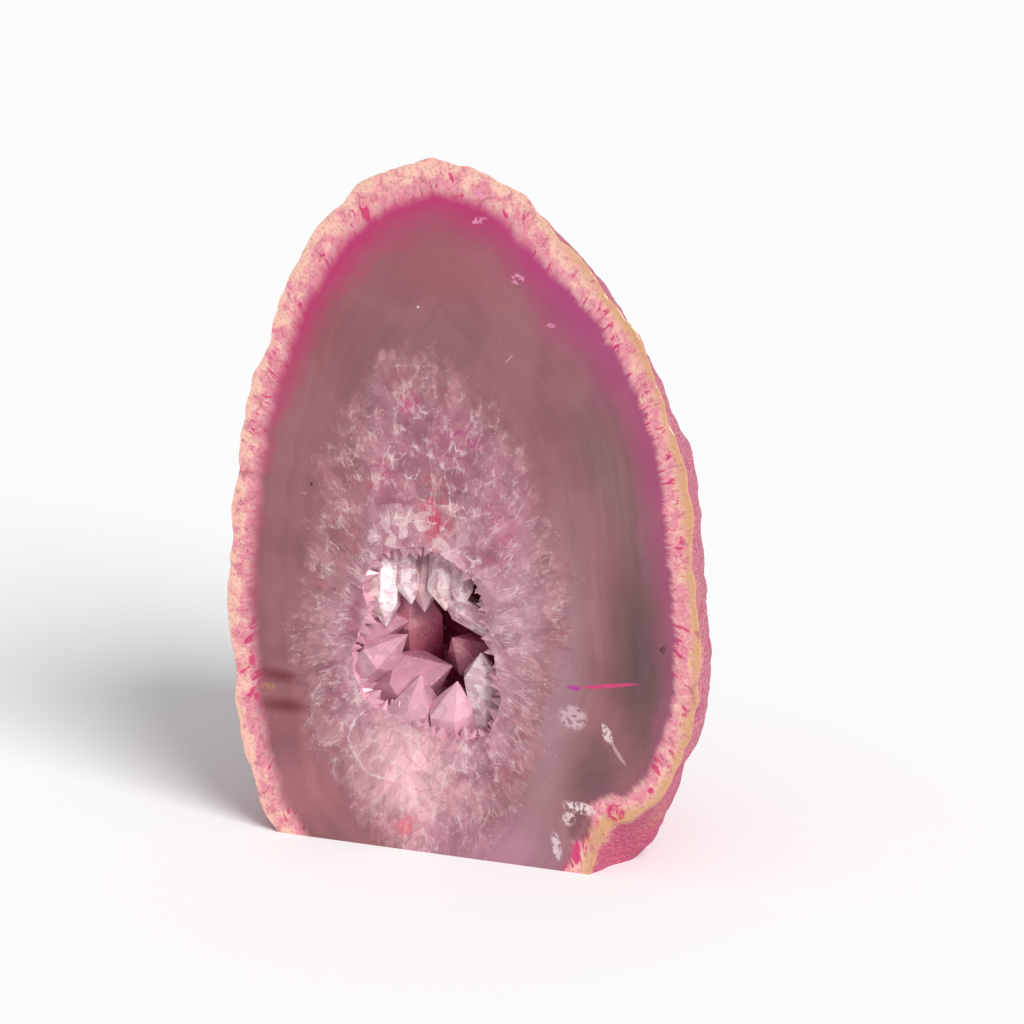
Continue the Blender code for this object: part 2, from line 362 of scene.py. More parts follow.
# How far the dye reaches in behind the rim (mm) and how strong it is,
# by the direction from the stone's middle in degrees.
dyeByAngle = [
    (-180, 3.0, 0.55), (-150, 3.0, 0.35), (-120, 2.0, 0.15), (-90, 2.0, 0.0), (-60, 3.0, 0.15),
    (-40, 3.5, 0.30), (-15, 5.0, 0.50), (10, 6.0, 0.62), (40, 7.0, 0.58), (62, 9.0, 0.88),
    (85, 9.0, 1.0), (105, 9.0, 1.0), (125, 6.0, 0.95), (145, 5.0, 0.75), (165, 3.5, 0.65),
    (180, 3.0, 0.55),
]  # fmt: skip


def addNumbers(mesh, name, values, kind="FLOAT", domain="POINT", part="value"):
    # numbers, places or colours for each point or face, for the materials to read
    data = mesh.attributes.new(name, kind, domain).data
    data.foreach_set(part, np.asarray(values, np.float32).ravel())


def addFacePlaces(mesh):
    # where each point is in the face's frame, in mm
    toFace = faceFrame.inverted()
    places = np.array([tuple(toFace @ vertex.co) for vertex in mesh.vertices]) / millimetre
    addNumbers(mesh, "facePlace", places, "FLOAT_VECTOR", part="vector")
    return places


def addTint(mesh, colour):
    tints = np.tile(np.array(linear(colour)), len(mesh.vertices))
    addNumbers(mesh, "tint", tints, "FLOAT_COLOR", part="color")


def signedDistance(points, outline):
    angles = np.linspace(-math.pi, math.pi, 361)[:-1]
    away = distanceToLine(points, outline.point(angles))
    off = points - outline.centre
    inside = np.hypot(*off.T) < outline.radius(np.arctan2(off[:, 1], off[:, 0]))
    return np.where(inside, away, -away)


def addPlaces(thing):
    # what the materials read: places in the face's frame, and distances to the stone's own lines, in mm
    mesh = thing.data
    flat = addFacePlaces(mesh)[:, [0, 2]]
    off = flat - faceEdge.centre
    angles = np.arctan2(off[:, 1], off[:, 0])
    addNumbers(mesh, "rimDepth", signedDistance(flat, faceEdge))
    addNumbers(mesh, "quartzDepth", signedDistance(flat, quartzEdge))
    table = np.array(dyeByAngle, float)
    degrees = np.degrees(angles)
    addNumbers(mesh, "dyeReach", np.interp(degrees, table[:, 0], table[:, 1]))
    addNumbers(mesh, "dyeStrength", np.interp(degrees, table[:, 0], table[:, 2]))
    # along the rim in mm, measured from the base cut, where the seam doesn't show
    around = (np.degrees(angles) + 90.0) % 360.0
    addNumbers(mesh, "rimAlong", np.radians(around) * stoneShape["rimRadius"])
    depth = np.zeros(len(flat))
    world = np.array([tuple(vertex.co) for vertex in mesh.vertices]) / millimetre
    base = np.abs(world[:, 2] - world[:, 2].min()) < 1e-3
    sawn = world[base][:, :2]
    depth[base] = distanceToLine(sawn, outermost(sawn, sawn.mean(0)))
    addNumbers(mesh, "baseDepth", depth)


def outermost(points, middle, steps=180):
    # the outermost point in each direction, as a line round the base
    off = points - middle
    bins = ((np.arctan2(off[:, 1], off[:, 0]) + math.pi) / (2 * math.pi) * steps).astype(int) % steps
    line = []
    for k in range(steps):
        here = off[bins == k]
        if len(here):
            line.append(middle + here[np.argmax(np.hypot(*here.T))])
    return np.array(line)


stone = makeStone()
addPlaces(stone)
print("stone:", len(stone.data.polygons), "faces")


# ---- materials: colours are sRGB, 0 to 255, sizes are millimetres

def linear(colour):
    parts = [c / 255 for c in colour]
    parts = [c / 12.92 if c <= 0.04045 else ((c + 0.055) / 1.055) ** 2.4 for c in parts]
    return (*parts, 1.0)


class Wire:
    # one socket, so that shader maths can be written as Python
    def __init__(self, shade, socket):
        self.shade, self.socket = shade, socket

    def __getitem__(self, name):
        return Wire(self.shade, self.socket.node.outputs[name])


def addOperator(name, operation):
    setattr(Wire, f"__{name}__", lambda self, other: self.shade.maths(operation, self, other))
    setattr(Wire, f"__r{name}__", lambda self, other: self.shade.maths(operation, other, self))


for name, operation in (("add", "ADD"), ("sub", "SUBTRACT"), ("mul", "MULTIPLY"), ("truediv", "DIVIDE")):
    addOperator(name, operation)


class Shade:
    # one material and its nodes
    def __init__(self, name):
        self.material = bpy.data.materials.new(name)
        self.material.use_nodes = True
        self.tree = self.material.node_tree
        self.shader = self.tree.nodes["Principled BSDF"]
        self.pushes = {}

    def add(self, kind, settings, values, out=0):
        # settings are the node's own, set first; values go to its sockets, as numbers or as links
        node = self.tree.nodes.new(kind)
        for name, value in settings.items():
            setattr(node, name, value)
        for name, value in values.items():
            self.join(node.inputs[name], value)
        return Wire(self, node.outputs[out])

    def join(self, socket, value):
        if isinstance(value, Wire):
            self.tree.links.new(value.socket, socket)
        else:
            socket.default_value = value

    def maths(self, operation, *terms):
        return self.add("ShaderNodeMath", {"operation": operation}, dict(enumerate(terms)))

    def vector(self, operation, *terms, out=0):
        return self.add("ShaderNodeVectorMath", {"operation": operation}, dict(enumerate(terms)), out)

    def number(self, name):
        return self.add("ShaderNodeAttribute", {"attribute_name": name}, {}, "Fac")

    def place(self):
        return self.add("ShaderNodeAttribute", {"attribute_name": "facePlace"}, {}, "Vector")

    def split(self, vector):
        parts = self.add("ShaderNodeSeparateXYZ", {}, {0: vector})
        return parts["X"], parts["Y"], parts["Z"]

    def together(self, x, y, z):
        return self.add("ShaderNodeCombineXYZ", {}, {0: x, 1: y, 2: z})

    def noise(self, place, size, detail=2.0, rough=0.5, warp=0.0):
        values = {"Vector": place, "Scale": 1 / size, "Detail": detail, "Roughness": rough}
        return self.add("ShaderNodeTexNoise", {}, {**values, "Distortion": warp})

    def cells(self, place, size, feature="F1"):
        settings = {"feature": feature}
        return self.add("ShaderNodeTexVoronoi", settings, {"Vector": place, "Scale": 1 / size})

    def scattered(self, place, size):
        # a random number for each cell
        return self.split(self.cells(place, size)["Color"])[0]

    def seams(self, place, size, width):
        # 1 where cells meet, fading to 0 over a width that is a share of the cell's size
        return self.fade(self.cells(place, size, "DISTANCE_TO_EDGE"), width, 0.0)

    def fade(self, value, start, end):
        # 0 at start and 1 at end, with soft shoulders; start may be the larger
        values = {0: value, 1: start, 2: end, 3: 0.0, 4: 1.0}
        return self.add("ShaderNodeMapRange", {"interpolation_type": "SMOOTHSTEP"}, values)

    def mix(self, first, second, share):
        settings = {"data_type": "RGBA", "clamp_factor": True}
        return self.add("ShaderNodeMix", settings, {0: share, 6: colourOf(first), 7: colourOf(second)}, 2)

    def times(self, colour, share):
        # the colour made darker or lighter by a number
        grey = self.together(share, share, share)
        settings = {"data_type": "RGBA", "blend_type": "MULTIPLY"}
        return self.add("ShaderNodeMix", settings, {0: 1.0, 6: colourOf(colour), 7: grey}, 2)

    def warped(self, place, size, reach):
        # the same places, pushed about by noise
        key = (place.socket.as_pointer(), size)
        if key not in self.pushes:
            self.pushes[key] = self.vector("SUBTRACT", self.noise(place, size, 1.0)["Color"], (0.5, 0.5, 0.5))
        return self.vector("MULTIPLY_ADD", self.pushes[key], (reach, reach, reach), place)

    def oval(self, place, centre, radii, turn):
        # 0 in the middle of an oval on the face, 1 at its edge
        values = {
            "Vector": place,
            "Location": (centre[0], 0.0, centre[1]),
            "Rotation": (0.0, math.radians(-turn), 0.0),
            "Scale": (radii[0], 1000.0, radii[1]),
        }
        inside = self.add("ShaderNodeMapping", {"vector_type": "TEXTURE"}, values)
        return self.vector("LENGTH", inside, out="Value")

    def spot(self, place, centre, radii, turn, soft):
        # 1 inside an oval, fading to 0 at its edge
        return self.fade(self.oval(place, centre, radii, turn), 1.0, 1.0 - soft)

    def outline(self, place, centre, radii, turn):
        # a thin line round an oval, and a fill that is strongest just inside the line
        far = self.oval(place, centre, radii, turn)
        line = self.fade(self.maths("ABSOLUTE", far - 1.0), 0.07, 0.01)
        return line, self.fade(far, 0.35, 0.98) * self.fade(far, 1.04, 1.0)

    def tinted(self, colour, place, tints):
        # soft patches of other colours, laid over one after another
        for centre, radii, turn, paint, strength in tints:
            colour = self.mix(colour, paint, self.spot(place, centre, radii, turn, 0.95) * strength)
        return colour

    def underGloss(self, colour):
        # deeper, so that with the coat's white reflection on top it looks as written
        deeper = self.vector("MULTIPLY_ADD", colour, (1.02, 1.02, 1.02), (-0.032, -0.032, -0.032))
        return self.vector("MAXIMUM", deeper, (0.004, 0.004, 0.004))

    def bump(self, height, distance, strength):
        values = {"Height": height, "Distance": distance * millimetre, "Strength": strength}
        return self.add("ShaderNodeBump", {}, values)

    def finish(self, **sockets):
        # sockets are named as in shaderLabels
        sockets["baseColor"] = colourOf(sockets["baseColor"])
        for name, value in sockets.items():
            self.join(self.shader.inputs[shaderLabels[name]], value)
        return self.material


shaderLabels = {
    "baseColor": "Base Color",
    "roughness": "Roughness",
    "specular": "Specular IOR Level",
    "coat": "Coat Weight",
    "coatRoughness": "Coat Roughness",
    "ior": "IOR",
    "normal": "Normal",
}


def colourOf(value):
    return value if isinstance(value, Wire) else linear(value)


agate = {
    "body": (150, 101, 106),
    "bodyDark": (138, 92, 97),
    "bandSize": 1.7,
    "bandStrength": 0.30,
    "dyeLeft": (186, 52, 108),
    "dyeRight": (170, 68, 122),
    "rimWidth": 4.1,
    "rimWander": 1.3,
    "rimCream": (228, 180, 166),
    "rimPink": (212, 132, 146),
    "rimWhite": (226, 184, 180),
    "rimFleck": (205, 48, 112),
    "rimTan": (200, 152, 98),
    "rimCrack": (140, 88, 80),
    # centre, radii, turn, colour, strength
    "tints": [
        ((13, 30), (10, 46), -4, (166, 129, 136), 0.95),
        ((28, 38), (8, 30), 6, (104, 80, 82), 0.95),
        ((22, 66), (7, 22), 22, (128, 100, 103), 0.7),
        ((21, 16), (8, 12), 0, (112, 84, 88), 0.8),
        ((-30, 86), (10, 18), -30, (146, 86, 90), 0.5),
        ((-33, 20), (9, 9), 0, (150, 92, 96), 0.5),
        ((-30, 8), (12, 9), 0, (176, 112, 120), 0.7),
        ((-8, 98), (22, 12), 0, (160, 94, 102), 0.6),
        ((-8, 86), (16, 10), 0, (140, 98, 102), 0.6),
        # a pale lilac haze along the base: painted reflection
        ((2, 3), (22, 9), 0, (186, 134, 158), 0.75),
        ((16, 5), (9, 7), 0, (156, 118, 122), 0.8),
    ],
    # two dark bands on the lower left
    "smoke": [
        ((-35, 27), (8, 2), -3, (118, 60, 66), 0.95),
        ((-34, 22), (8, 2), 2, (114, 58, 64), 0.9),
    ],
}

quartz = {
    "body": (186, 139, 149),
    "dark": (160, 104, 117),
    "light": (214, 170, 177),
    "line": (236, 208, 210),
    "speck": (226, 196, 194),
    "outer": (154, 103, 111),
    "silver": (232, 206, 208),
    "gleam": (244, 224, 226),
    "seam": (162, 84, 108),
    "growthCentre": (-8.5, 0.0, 37.0),  # the quartz's streaks run out from here
    "largeCell": 4.6,
    "smallCell": 1.7,
    "tints": [
        ((-10, 68), (17, 17), 0, (163, 106, 119), 0.85),
        ((-24, 58), (7, 26), 0, (148, 96, 104), 0.7),
        ((4, 60), (10, 14), 10, (182, 124, 144), 0.7),
        ((8, 40), (8, 22), 0, (190, 152, 159), 0.7),
        ((-12, 12), (12, 16), 0, (242, 188, 197), 1.0),
        ((-20, 14), (7, 9), 0, (196, 152, 160), 0.7),
        # a pale lilac haze along the base: painted reflection
        ((-2, 3), (10, 5), 0, (186, 134, 156), 0.8),
        ((-13, 44), (9, 8), 0, (206, 170, 172), 0.8),
    ],
    # outlines of large crystals that the polish cuts through: centre, radii, turn, strength
    "outlines": [
        ((-16, 18), (6, 6), 10, 0.4),
        ((-25, 23), (4, 7), -15, 0.2),
    ],
    "stains": [
        ((-8, 57), (4, 9), 6, (190, 70, 92), 0.95),
        ((-13, 75), (3, 3), 0, (190, 66, 108), 0.8),
        ((-4, 70), (6, 5), -20, (168, 78, 124), 0.8),
        ((-18, 62), (3, 6), -20, (176, 74, 104), 0.8),
        ((4, 56), (3, 8), 25, (190, 92, 128), 0.6),
        ((-11, 4), (4, 3), 0, (222, 110, 126), 0.8),
        ((-11, 23), (2, 1), 0, (206, 62, 104), 0.7),
    ],
}

# Small marks on the polish, with centres on whole millimetres.
# centre, radii, turn, colour, strength, how ragged they are
chipPink, chipWhite, dyeSpot = (226, 146, 184), (226, 202, 205), (200, 58, 106)
marks = [
    ((-2, 110), (0.8, 1.8), -25, chipPink, 0.9, 0.6),
    ((-2, 106), (1.7, 0.7), 10, chipPink, 0.8, 0.7),
    ((5, 97), (1.3, 1.0), 0, chipPink, 0.9, 0.7),
    ((11, 90), (0.8, 0.6), 0, chipPink, 0.8, 0.6),
    ((-12, 91), (0.3, 0.25), 0, chipWhite, 0.8, 0.3),
    ((4, 84), (0.12, 1.3), -42, (210, 158, 160), 0.8, 0.2),
    ((-30, 60), (0.3, 0.5), 0, (72, 42, 46), 0.8, 0.3),
    ((32, 39), (0.7, 0.9), -20, (74, 50, 48), 0.8, 0.6),
    ((23, 32), (6.4, 0.42), 10, (204, 72, 118), 0.95, 0.25),
    ((17, 31), (1.5, 0.55), 0, (178, 62, 150), 0.9, 0.4),
    ((17, 26), (3.0, 2.5), -12, (204, 172, 182), 0.85, 0.5),
    ((23, 24), (0.9, 2.2), 28, chipWhite, 0.85, 0.5),
    ((25, 21), (0.4, 2.8), 36, (198, 164, 166), 0.7, 0.4),
    ((22, 20), (2.0, 4.0), 20, (122, 90, 92), 0.6, 0.2),
    ((19, 8), (2.6, 3.4), -20, (124, 86, 88), 0.8, 0.3),
    ((19, 11), (3.8, 1.2), -6, chipWhite, 0.95, 0.6),
    ((17, 9), (1.3, 1.5), 0, chipWhite, 0.8, 0.6),
    ((25, 11), (2.2, 2.0), 20, dyeSpot, 0.9, 0.6),
    ((15, 4), (1.0, 3.0), 14, chipWhite, 0.8, 0.55),
    ((22, 5), (1.8, 4.6), 12, (206, 150, 124), 0.75, 0.6),
    ((-37, 25), (1.6, 0.8), 0, (172, 136, 84), 0.6, 0.5),
    ((-40, 29), (0.9, 1.4), 0, dyeSpot, 0.8, 0.5),
    ((-39, 23), (0.9, 0.9), 0, dyeSpot, 0.8, 0.5),
]


def rimPaint(shade, place, rimDepth, along):
    # the crust just inside the skin: how much of it there is, its colour and its pits
    teeth = shade.together(along, rimDepth * 0.35, 0.0)
    wander = (shade.noise(teeth, 4.5, 3.0, 0.6) - 0.5) * (2 * agate["rimWander"])
    onRight = shade.fade(shade.split(place)[0], 2.0, 24.0)
    fine = (shade.cells(teeth, 0.8) - 0.45) * (0.3 + 0.4 * onRight)
    top = shade.fade(shade.split(place)[2], 88.0, 112.0)
    width = agate["rimWidth"] + wander + fine + 1.2 * top
    cover = shade.fade((rimDepth - width) / (1.5 - 0.8 * onRight), 1.0, -1.0)
    share = rimDepth / width
    patch = shade.noise(place, 2.6, 3.0, 0.6)
    colour = shade.mix(agate["rimCream"], agate["rimPink"], shade.fade(patch + share * 0.25, 0.48, 0.72))
    grains = shade.cells(place, 0.55)
    colour = shade.times(colour, 0.86 + 0.3 * shade.fade(grains, 0.1, 0.6))
    inner = shade.fade(share, 0.55, 0.95) * shade.fade(shade.noise(teeth, 1.1, 2.0), 0.42, 0.58)
    colour = shade.mix(colour, agate["rimWhite"], inner * 0.5)
    streak = shade.together(along, rimDepth * 0.4, 0.0)
    fleckNoise = shade.noise(streak, 1.25, 2.0, 0.6, 0.6)
    lot = shade.noise(place, 11.0, 1.0)
    flecks = shade.fade(fleckNoise + (lot - 0.5) * 0.35 + onRight * 0.05, 0.62, 0.68)
    flecks = flecks * shade.fade(share, 0.15, 0.5)
    colour = shade.mix(colour, agate["rimFleck"], flecks * 0.85)
    tan = shade.fade(rimDepth + (patch - 0.5) * 5.0, 0.9 + 1.4 * onRight, 0.1) * (0.10 + 0.65 * onRight)
    colour = shade.mix(colour, agate["rimTan"], tan)
    cracks = shade.seams(streak, 2.4, 0.05)
    colour = shade.mix(colour, agate["rimCrack"], cracks * shade.fade(patch, 0.5, 0.62) * 0.5)
    return cover, colour, grains


def quartzPaint(shade, place, quartzDepth):
    # the sugary quartz round the pocket: cover, colour and relief
    large, little = quartz["largeCell"], quartz["smallCell"]
    out = shade.vector("SUBTRACT", place, quartz["growthCentre"])
    far = shade.vector("LENGTH", out, out="Value")
    ray = shade.vector("SCALE", shade.vector("NORMALIZE", out), (0, 0, 0))
    ray.socket.node.inputs["Scale"].default_value = 22.0
    rayX, _, rayZ = shade.split(ray)
    growth = shade.together(rayX, far * 0.28, rayZ)  # stretched along the way the crystals grew
    coarse, spiky = shade.noise(place, 7.5, 4.0, 0.6), shade.noise(growth, 1.1, 3.0, 0.7)
    depth = quartzDepth + ((coarse - 0.5) * 11.0 + (spiky - 0.5) * 9.0)
    cover = shade.fade(depth, -1.5, 2.5)
    pale = shade.fade(depth, -1.0, 12.0)
    inner = shade.fade(quartzDepth, 6.0, 15.0)

    darker = shade.fade(shade.noise(place, 6.0, 3.0, 0.6), 0.45, 0.62)
    colour = shade.mix(quartz["body"], quartz["dark"], darker)
    colour = shade.tinted(colour, place, quartz["tints"])
    colour = shade.mix(quartz["outer"], colour, 0.30 + 0.70 * pale)
    bent = shade.warped(place, 3.5, 2.6)
    blocks = shade.warped(place, 3.5, 1.8)
    bentGrowth = shade.warped(growth, 1.6, 1.3)
    largeTone = shade.scattered(blocks, large)
    smallTone = shade.scattered(bentGrowth, little)
    tone = largeTone * inner + smallTone * (1 - inner)
    colour = shade.times(colour, 0.86 - 0.12 * inner + (0.28 + 0.18 * inner) * tone)
    flakes = shade.scattered(blocks, little)
    silver = shade.spot(place, (-11.5, 51.0), (11.0, 11.0), 10, 0.9) * shade.fade(flakes, 0.50, 0.62)
    colour = shade.times(colour, 0.86 + 0.28 * flakes)
    colour = shade.mix(colour, quartz["silver"], silver * 0.75)
    stains = shade.fade(shade.noise(bent, 2.2, 3.0, 0.6), 0.40, 0.60)
    for centre, radii, turn, paint, strength in quartz["stains"]:
        colour = shade.mix(colour, paint, shade.spot(place, centre, radii, turn, 0.9) * stains * strength)

    # white boundaries between the crystals, broken up by noise
    veilNoise = shade.noise(bent, 1.6, 5.0, 0.75)
    torn = shade.fade(shade.noise(place, 3.2, 3.0, 0.7), 0.44, 0.62)
    largeLine = shade.seams(blocks, large, 0.045) * inner
    smallLine = shade.seams(bentGrowth, little, 0.10)
    feather = shade.noise(growth, 1.5, 4.0, 0.65, 0.8)
    wisp = shade.fade(shade.maths("ABSOLUTE", feather - 0.5), 0.030, 0.0) * (1 - 0.5 * inner)
    lines = (largeLine * 0.65 + smallLine * 0.4 + wisp * 0.6) * torn
    lines = shade.maths("MINIMUM", lines, 0.85)
    colour = shade.mix(colour, quartz["line"], lines * (0.55 + 0.45 * pale))
    for centre, radii, turn, strength in quartz["outlines"]:
        line, fill = shade.outline(bent, centre, radii, turn)
        colour = shade.mix(colour, quartz["light"], fill * strength * 0.45)
        colour = shade.mix(colour, quartz["gleam"], line * strength * shade.fade(veilNoise, 0.40, 0.56))
    seams = shade.seams(blocks, large / 2, 0.07) * shade.fade(torn, 0.7, 0.2)
    colour = shade.mix(colour, quartz["seam"], seams * (0.10 + 0.22 * pale))
    veil = shade.fade(veilNoise, 0.56, 0.74)
    colour = shade.mix(colour, quartz["light"], veil * (0.25 + 0.40 * pale))

    # sparks where the small crystals begin
    speckCell = shade.cells(place, 0.5)
    chosen = shade.fade(shade.split(speckCell["Color"])[0], 0.74, 0.80)
    specks = shade.fade(speckCell, 0.30, 0.08) * chosen
    band = shade.fade(depth, -3.0, 0.5) * shade.fade(quartzDepth, 17.0, 5.0)
    specks = specks * (band * shade.fade(shade.noise(growth, 2.4, 2.0), 0.44, 0.60) + inner * 0.12)
    return cover, colour, specks, tone


def polishedAgate():
    shade = Shade("polished agate")
    place = shade.place()
    u, _, v = shade.split(place)
    rimDepth, along = shade.number("rimDepth"), shade.number("rimAlong")
    slow = shade.noise(place, 13.0, 2.0)

    colour = shade.mix(agate["body"], agate["bodyDark"], shade.fade(slow, 0.42, 0.62))
    colour = shade.tinted(colour, place, agate["tints"] + agate["smoke"])
    bandPlace = shade.together(rimDepth + slow * 7.0, along * 0.02, 0.0)
    bands = shade.noise(bandPlace, agate["bandSize"], 2.0, 0.6)
    colour = shade.times(colour, 1 + (bands - 0.5) * agate["bandStrength"])
    streaks = shade.noise(shade.together(rimDepth + slow * 2.0, 0.0, v * 0.05), 1.6, 2.0, 0.6)
    onRight = shade.fade(u, 6.0, 24.0)
    colour = shade.times(colour, 1 + (streaks - 0.5) * 0.30 * onRight)
    colour = shade.times(colour, 1 + (shade.noise(place, 4.5, 2.0) - 0.5) * 0.10)

    behindRim = rimDepth - agate["rimWidth"] + 1.0
    reach = shade.number("dyeReach") + (shade.noise(place, 7.0, 2.0) - 0.5) * 7.0
    reach = shade.maths("MAXIMUM", reach, 0.6)
    dye = shade.fade(behindRim / reach, 1.25, 0.15) * shade.number("dyeStrength")
    dyeColour = shade.mix(agate["dyeLeft"], agate["dyeRight"], shade.fade(u, -12.0, 22.0))
    colour = shade.mix(colour, dyeColour, dye)

    cover, quartzColour, specks, relief = quartzPaint(shade, place, shade.number("quartzDepth"))
    colour = shade.mix(colour, quartzColour, cover)
    colour = shade.mix(colour, quartz["speck"], specks)

    rimCover, rimColour, grains = rimPaint(shade, place, rimDepth, along)
    colour = shade.mix(colour, rimColour, rimCover)

    ragged = shade.noise(place, 0.9, 3.0, 0.6)
    for centre, radii, turn, paint, strength, torn in marks:
        spot = shade.spot(shade.warped(place, 1.1, 1.2 * torn), centre, radii, turn, 0.45)
        broken = shade.fade(ragged, 0.30 + 0.22 * torn, 0.40 + 0.22 * torn) if torn > 0.4 else 1.0
        colour = shade.mix(colour, paint, spot * broken * strength)

    height = relief * cover * 0.5 + grains * rimCover * 0.5
    return shade.finish(
        baseColor=shade.underGloss(colour),
        specular=0.0,
        roughness=0.30 + 0.15 * rimCover,
        coat=1.0,
        coatRoughness=0.05,
        normal=shade.bump(height, 0.10, 0.8),
    )


skinPaint = {
    "pink": (196, 116, 136),
    "pit": (176, 62, 106),
    "grain": (216, 166, 162),
    "tan": (200, 150, 112),
    "edge": (214, 160, 138),
    "dye": (182, 62, 104),
    "lowDye": (184, 62, 104),
}


def naturalSkin():
    shade = Shade("natural skin")
    place = shade.place()
    _, depth, v = shade.split(place)
    patch = shade.noise(place, 9.0, 3.0, 0.6)
    pits = shade.cells(shade.warped(place, 1.2, 0.6), 0.75)
    fine = shade.noise(place, 0.45, 3.0, 0.7)
    colour = shade.mix(skinPaint["pink"], skinPaint["tan"], shade.fade(patch, 0.56, 0.74) * 0.6)
    colour = shade.mix(colour, skinPaint["grain"], shade.fade(fine, 0.52, 0.68) * 0.8)
    hollow = shade.fade(pits, 0.38, 0.66) * shade.fade(fine, 0.60, 0.40)
    colour = shade.mix(colour, skinPaint["pit"], hollow * 0.8)
    dye = shade.fade(shade.noise(place, 3.6, 3.0), 0.55, 0.70)
    colour = shade.mix(colour, skinPaint["dye"], dye * 0.5)
    # darker magenta towards the bottom of the skin
    low = shade.fade(v + (patch - 0.5) * 20.0, 26.0, 6.0)
    colour = shade.mix(colour, skinPaint["lowDye"], low * 0.55)
    edge = shade.fade(depth + (shade.noise(place, 2.6, 3.0, 0.6) - 0.5) * 4.0, 1.3, 0.1)
    colour = shade.mix(colour, skinPaint["edge"], edge * 0.75)
    height = fine * 0.6 - shade.fade(pits, 0.25, 0.65) * 0.7
    return shade.finish(
        baseColor=colour,
        roughness=0.78 - 0.12 * fine,
        specular=0.35,
        normal=shade.bump(height, 0.28, 0.9),
    )


basePaint = {
    "body": (158, 112, 118),
    "dye": (182, 84, 120),
    "sugar": (206, 160, 168),
    "crust": (212, 160, 142),
    "crustPink": (204, 128, 146),
    "sugarCentre": (-9.0, 4.0, 0.0),
}


def sawnBase():
    shade = Shade("sawn base")
    place = shade.place()
    depth = shade.number("baseDepth")
    wander = (shade.noise(place, 4.0, 3.0, 0.6) - 0.5) * 3.0
    rim = shade.fade(depth + wander, 4.6, 3.8)
    dye = shade.fade(depth + wander * 1.5, 11.0, 4.0)
    bands = shade.noise(shade.together(depth + wander, 0.0, 0.0), 1.6, 2.0, 0.6)
    colour = shade.times(basePaint["body"], 1 + (bands - 0.5) * 0.35)
    colour = shade.mix(colour, basePaint["dye"], dye * 0.7)
    out = shade.vector("SUBTRACT", place, basePaint["sugarCentre"])
    middle = shade.fade(shade.vector("LENGTH", out, out="Value"), 13.0, 6.0)
    sugar = shade.times(basePaint["sugar"], 0.8 + 0.4 * shade.cells(place, 1.4))
    colour = shade.mix(colour, sugar, middle * shade.fade(shade.noise(place, 2.5, 3.0, 0.7), 0.40, 0.58))
    patch = shade.fade(shade.noise(place, 2.2, 3.0), 0.45, 0.6)
    crust = shade.mix(basePaint["crust"], basePaint["crustPink"], patch)
    colour = shade.mix(colour, crust, rim)
    # fine marks of the saw, all running one way
    across, deep, _ = shade.split(place)
    lines = shade.noise(shade.together(across * 0.04, deep, 0.0), 0.35, 2.0, 0.6)
    colour = shade.times(colour, 0.96 + 0.08 * lines)
    return shade.finish(baseColor=colour, roughness=0.5, specular=0.4, normal=shade.bump(lines, 0.05, 0.6))


crystalPaint = {
    "wall": (204, 150, 164),  # the pocket's wall and the druse on it
    # deeper in the pocket the colour turns to this darker crimson: partly the quartz's own crimson, partly
    # painted shade in the recess
    "deep": (196, 52, 100),
    "deepFrom": 7.0,
    "deepAt": 17.0,
    "veil": (240, 216, 218),
    "glint": (246, 232, 233),
    "dull": (186, 138, 148),
}


def crystalQuartz(name, glitter):
    # glitter is 1 for the silvery crystals, which get painted glints, painted dark flecks and more white
    # veil, and 0 for the others
    shade = Shade(name)
    place = shade.place()
    _, depth, _ = shade.split(place)
    paintedFacetLight = shade.number("paintedFacetLight")
    colour = shade.add("ShaderNodeAttribute", {"attribute_name": "tint"}, {}, "Color")
    veil = shade.fade(shade.noise(shade.warped(place, 2.0, 2.0), 1.8, 5.0, 0.7), 0.50, 0.72)
    colour = shade.mix(colour, crystalPaint["veil"], veil * (0.25 + 0.35 * glitter))
    if glitter > 0:
        # painted glints on the bright cells, painted shade on the dark ones
        bright = shade.scattered(shade.warped(place, 0.9, 1.2), 1.2)
        colour = shade.mix(colour, crystalPaint["glint"], shade.fade(bright, 0.66, 0.76) * 0.55)
        colour = shade.mix(colour, crystalPaint["dull"], shade.fade(bright, 0.36, 0.26) * 0.6)
    fractures = shade.scattered(shade.warped(place, 1.6, 1.6), 1.9)
    # painted light: each flat side lighter or darker, as facets catching the light would be; the fractures
    # are the quartz's own
    colour = shade.times(colour, 0.74 + 0.30 * paintedFacetLight + 0.28 * fractures)
    # deeper in the pocket, darker crimson: partly the quartz's own colour, partly painted shade
    deep = shade.fade(depth, crystalPaint["deepFrom"], crystalPaint["deepAt"])
    colour = shade.mix(colour, crystalPaint["deep"], deep * 0.9)
    steps = shade.noise(place, 0.9, 3.0, 0.6) + fractures * 0.5
    return shade.finish(
        baseColor=colour,
        roughness=0.22 + 0.15 * veil,
        coat=0.4,
        coatRoughness=0.25,
        ior=1.55,
        normal=shade.bump(steps, 0.14, 0.8),
    )


polish, skin, base = polishedAgate(), naturalSkin(), sawnBase()
clearQuartz, glintingQuartz = crystalQuartz("clear quartz", 0.0), crystalQuartz("glinting quartz", 1.0)
for material in (polish, skin, clearQuartz, base):
    stone.data.materials.append(material)
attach(stone, "root")
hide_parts("geode_stone")
print("materials done")
